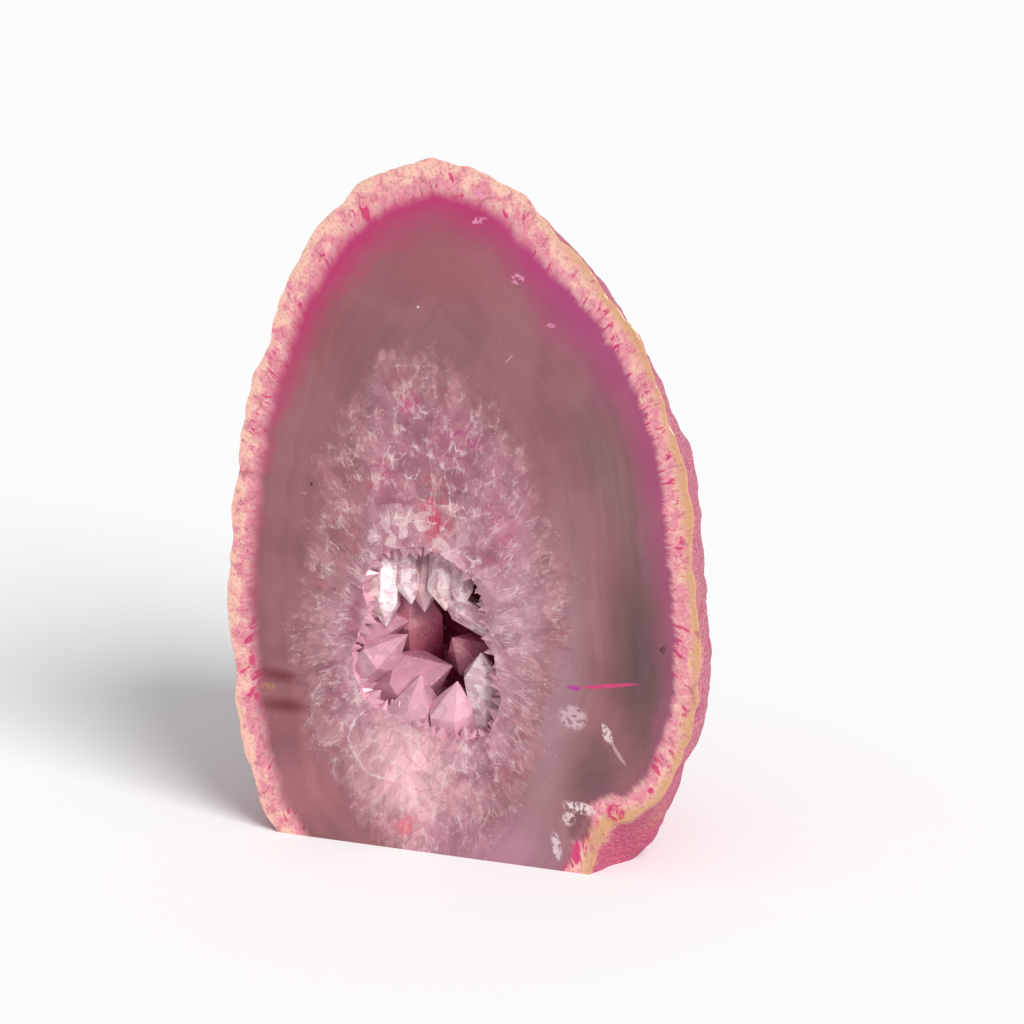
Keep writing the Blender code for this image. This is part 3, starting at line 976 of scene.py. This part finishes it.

# ---- crystals in the pocket

# Colour, whether it gets painted glints (the silvery ones), and how much larger than the CAD crystal, so that
# neighbours grow into each other.
# Some of those beside the openings that the record states grow less, to leave them clear.
crystalLooks = {
    # The whitish tints of the silvery crystals are partly painted reflection.
    "roof_crystal_left": ((220, 192, 194), 1.0, 1.35),
    "roof_crystal_small": ((222, 192, 196), 1.0, 1.5),
    "roof_crystal_middle": ((206, 160, 168), 0.0, 1.1),
    "roof_crystal_silver": ((222, 194, 196), 1.0, 1.35),
    "roof_crystal_right": ((214, 178, 186), 1.0, 1.2),
    "rim_crystal_right": ((222, 182, 190), 1.0, 1.3),
    "back_crystal_large": ((190, 116, 134), 0.0, 1.25),
    "back_crystal_upper": ((184, 92, 118), 0.0, 1.35),
    "back_crystal_right": ((188, 116, 132), 0.0, 1.15),
    "side_crystal_right": ((226, 202, 206), 1.0, 1.05),
    "floor_crystal_right": ((210, 158, 172), 0.0, 1.35),
    "floor_crystal_left": ((196, 142, 158), 0.0, 1.45),
    "floor_crystal_large": ((186, 128, 144), 0.0, 1.12),
    "floor_crystal_small": ((192, 138, 154), 0.0, 1.5),
    "side_crystal_left": ((184, 124, 142), 0.0, 1.6),
}


crystalShape = {"behindPolish": 0.25, "bevel": 0.09, "bevelDegrees": 18.0, "flatDegrees": 2.0}


def addFacets(mesh, tint):
    # the colour, and for every flat side a painted shade, lighter or darker as if it caught more or less
    # light, scattered by the way the side faces
    addTint(mesh, tint)
    normals = np.array([tuple(face.normal) for face in mesh.polygons])
    scatter = np.sin(np.round(normals, 1) @ np.array([12.99, 78.23, 37.72])) * 437.58
    addNumbers(mesh, "paintedFacetLight", scatter - np.floor(scatter), domain="FACE")


def makeCrystal(node, tint, glitter, grow):
    # the CAD crystal, grown, cut flush just behind the polish, with its edges worn a little round
    body = bmesh.new()
    body.from_mesh(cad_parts[node].data)
    bmesh.ops.remove_doubles(body, verts=body.verts, dist=1e-6)
    flat = math.radians(crystalShape["flatDegrees"])
    bmesh.ops.dissolve_limit(body, angle_limit=flat, verts=body.verts, edges=body.edges)
    middle = sum((vert.co for vert in body.verts), Vector()) / len(body.verts)
    body.transform(Matrix.Translation(middle) @ Matrix.Scale(grow, 4) @ Matrix.Translation(-middle))
    outward = faceFrame.to_3x3() @ Vector((0, -1, 0))
    flush = faceFrame @ Vector((0, crystalShape["behindPolish"] * millimetre, 0))
    everything = body.verts[:] + body.edges[:] + body.faces[:]
    cut = bmesh.ops.bisect_plane(body, geom=everything, plane_co=flush, plane_no=outward, clear_outer=True)
    rim = [item for item in cut["geom_cut"] if isinstance(item, bmesh.types.BMEdge)]
    if rim:
        bmesh.ops.contextual_create(body, geom=rim)
    least = math.radians(crystalShape["bevelDegrees"])
    sharp = [edge for edge in body.edges if edge.is_manifold and edge.calc_face_angle(0) > least]
    width = crystalShape["bevel"] * millimetre
    bmesh.ops.bevel(body, geom=sharp, offset=width, segments=1, affect="EDGES", clamp_overlap=True)
    bmesh.ops.triangulate(body, faces=body.faces)
    thing = linkedObject(body, node + "_quartz")
    thing.data.materials.append(glintingQuartz if glitter else clearQuartz)
    addFacePlaces(thing.data)
    addFacets(thing.data, tint)
    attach(thing, "root")
    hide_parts(node)


for node, (tint, glitter, grow) in crystalLooks.items():
    makeCrystal(node, tint, glitter, grow)
print("crystals:", len(crystalLooks))

# the stone's own pocket wall wears the same quartz
addFacets(stone.data, crystalPaint["wall"])

# ---- the druse: small six-sided points all over the pocket's wall

druse = {
    "gap": 1.5,
    "radius": 1.35,
    "height": 2.5,
    "smallest": 0.5,
    "largest": 1.2,
    "lean": 0.45,
    "seed": 7,
    "mostPerSquareMetre": 2.0e6,  # above what the gap allows, so the gap sets the spacing
    "sunk": 0.25,  # the share of a point's height that is inside the wall
    "wallFrom": 1.6,  # how deep in the pocket the druse begins
}


def pocketWall():
    # the stone's own pocket faces, deeper than the mouth's edge, as a place to grow on
    body = bmesh.new()
    body.from_mesh(stone.data)
    toFace = faceFrame.inverted()
    least = druse["wallFrom"] * millimetre
    others = [
        face for face in body.faces
        if face.material_index != pocketRegion or (toFace @ face.calc_center_median()).y < least
    ]  # fmt: skip
    bmesh.ops.delete(body, geom=others, context="FACES")
    return linkedObject(body, "pocket_druse")


def druseNodes():
    tree = bpy.data.node_groups.new("druse", "GeometryNodeTree")
    tree.interface.new_socket("Geometry", in_out="INPUT", socket_type="NodeSocketGeometry")
    for name in ("Gap", "Radius", "Height", "Smallest", "Largest", "Lean"):
        tree.interface.new_socket(name, in_out="INPUT", socket_type="NodeSocketFloat")
    tree.interface.new_socket("Seed", in_out="INPUT", socket_type="NodeSocketInt")
    tree.interface.new_socket("Material", in_out="INPUT", socket_type="NodeSocketMaterial")
    tree.interface.new_socket("Geometry", in_out="OUTPUT", socket_type="NodeSocketGeometry")
    given = tree.nodes.new("NodeGroupInput").outputs

    def add(kind, settings, values):
        node = tree.nodes.new(kind)
        for name, value in settings.items():
            setattr(node, name, value)
        for name, value in values.items():
            if isinstance(value, bpy.types.NodeSocket):
                tree.links.new(value, node.inputs[name])
            else:
                node.inputs[name].default_value = value
        return node

    def inUse(sockets, name):
        # these nodes have several sockets of one name, of which one is switched on
        return [socket for socket in sockets if socket.name == name and socket.enabled][0]

    wall = {"Mesh": given["Geometry"], "Distance Min": given["Gap"], "Seed": given["Seed"]}
    spread = add("GeometryNodeDistributePointsOnFaces", {"distribute_method": "POISSON"},
                 {**wall, "Density Max": druse["mostPerSquareMetre"]})  # fmt: skip
    cone = {"Vertices": 6, "Radius Top": 0.0, "Radius Bottom": given["Radius"], "Depth": given["Height"]}
    point = add("GeometryNodeMeshCone", {"fill_type": "NGON"}, cone).outputs["Mesh"]
    sunk = add("ShaderNodeMath", {"operation": "MULTIPLY"}, {0: given["Height"], 1: -druse["sunk"]})
    below = add("ShaderNodeCombineXYZ", {}, {"Z": sunk.outputs[0]}).outputs[0]
    moved = add("GeometryNodeTransform", {}, {"Geometry": point, "Translation": below})
    back = add("ShaderNodeMath", {"operation": "MULTIPLY"}, {0: given["Lean"], 1: -1.0}).outputs[0]
    tilt = add("FunctionNodeRandomValue", {"data_type": "FLOAT_VECTOR"},
               {"Min": back, "Max": given["Lean"], "Seed": given["Seed"]}).outputs["Value"]  # fmt: skip
    turned = add("FunctionNodeRotateRotation", {"rotation_space": "LOCAL"},
                 {"Rotation": spread.outputs["Rotation"], "Rotate By": tilt})  # fmt: skip
    size = add("FunctionNodeRandomValue", {"data_type": "FLOAT"}, {"Seed": given["Seed"]})
    for name, socket in (("Min", "Smallest"), ("Max", "Largest")):
        tree.links.new(given[socket], inUse(size.inputs, name))
    grown = add("GeometryNodeInstanceOnPoints", {}, {
        "Points": spread.outputs["Points"], "Instance": moved.outputs["Geometry"],
        "Rotation": turned.outputs["Rotation"], "Scale": inUse(size.outputs, "Value"),
    })  # fmt: skip
    real = add("GeometryNodeRealizeInstances", {}, {"Geometry": grown.outputs["Instances"]})
    done = add("GeometryNodeSetMaterial", {},
               {"Geometry": real.outputs["Geometry"], "Material": given["Material"]})  # fmt: skip
    tree.links.new(done.outputs["Geometry"], tree.nodes.new("NodeGroupOutput").inputs[0])
    return tree


def makeDruse():
    thing = pocketWall()
    modifier = thing.modifiers.new("druse", "NODES")
    modifier.node_group = druseNodes()
    sizes = {name: druse[name.lower()] for name in ("Smallest", "Largest", "Lean", "Seed")}
    sizes.update({name: druse[name.lower()] * millimetre for name in ("Gap", "Radius", "Height")})
    sizes["Material"] = clearQuartz
    for item in modifier.node_group.interface.items_tree:
        if item.name in sizes and item.in_out == "INPUT":
            modifier[item.identifier] = sizes[item.name]
    bpy.context.view_layer.update()
    seen = thing.evaluated_get(bpy.context.evaluated_depsgraph_get())
    mesh = bpy.data.meshes.new_from_object(seen)
    thing.modifiers.clear()
    thing.data = mesh
    addFacePlaces(mesh)
    addFacets(mesh, crystalPaint["wall"])
    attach(thing, "root")
    print("druse:", len(mesh.polygons), "faces")


makeDruse()

# ---- the room

room = {
    "floorSize": 6.0,
    "floor": (253, 253, 253),
    "worldStrength": 0.47,
    "keyStrength": 0.88 * math.pi,
    "keyFrom": (0.66, -0.44, 0.60),
    "keySpread": 34.0,
}
# degrees, metres and the lens in mm; the aim is measured from the origin of the face's frame
view = {
    "azimuth": 21.0,
    "elevation": 16.5,
    "distance": 0.75,
    "lens": 163.5,
    "sensor": 36.0,
    "aim": (0.0, 0.0001, 0.0585),
    "aimRight": 0.0068,  # the stone stands a little left of the picture's middle
    "aimUp": 0.0010,
}


def addSun():
    # one broad, distant light
    light = bpy.data.lights.new("key", "SUN")
    light.angle = math.radians(room["keySpread"])
    light.energy = room["keyStrength"]
    lamp = bpy.data.objects.new("key", light)
    bpy.context.scene.collection.objects.link(lamp)
    lamp.rotation_mode = "QUATERNION"
    lamp.rotation_quaternion = Vector(room["keyFrom"]).to_track_quat("Z", "Y")


def makeRoom():
    bpy.ops.mesh.primitive_plane_add(size=room["floorSize"], location=(0, 0, 0))
    floor = bpy.context.object
    floor.name = "floor"
    shade = Shade("pale floor")
    floor.data.materials.append(shade.finish(baseColor=room["floor"], roughness=0.9, specular=0.1))
    world = bpy.data.worlds.new("studio")
    world.use_nodes = True
    sky = world.node_tree.nodes["Background"].inputs
    sky["Color"].default_value = (1.0, 1.0, 1.0, 1.0)
    sky["Strength"].default_value = room["worldStrength"]
    bpy.context.scene.world = world
    addSun()


def makeCamera():
    turn, rise = math.radians(view["azimuth"]), math.radians(view["elevation"])
    back = Vector((math.sin(turn) * math.cos(rise), -math.cos(turn) * math.cos(rise), math.sin(rise)))
    right = Vector((math.cos(turn), math.sin(turn), 0))
    up = back.cross(right)
    aim = faceFrame.translation + Vector(view["aim"]) + right * view["aimRight"] + up * view["aimUp"]
    lens = bpy.data.cameras.new("camera")
    lens.lens = view["lens"]
    lens.sensor_width = view["sensor"]
    lens.clip_start = 0.01
    camera = bpy.data.objects.new("camera", lens)
    bpy.context.scene.collection.objects.link(camera)
    camera.location = aim + back * view["distance"]
    camera.rotation_mode = "QUATERNION"
    camera.rotation_quaternion = back.to_track_quat("Z", "Y")
    bpy.context.scene.camera = camera


makeRoom()
makeCamera()
bpy.context.scene.view_settings.view_transform = "Standard"
print("room and camera done")
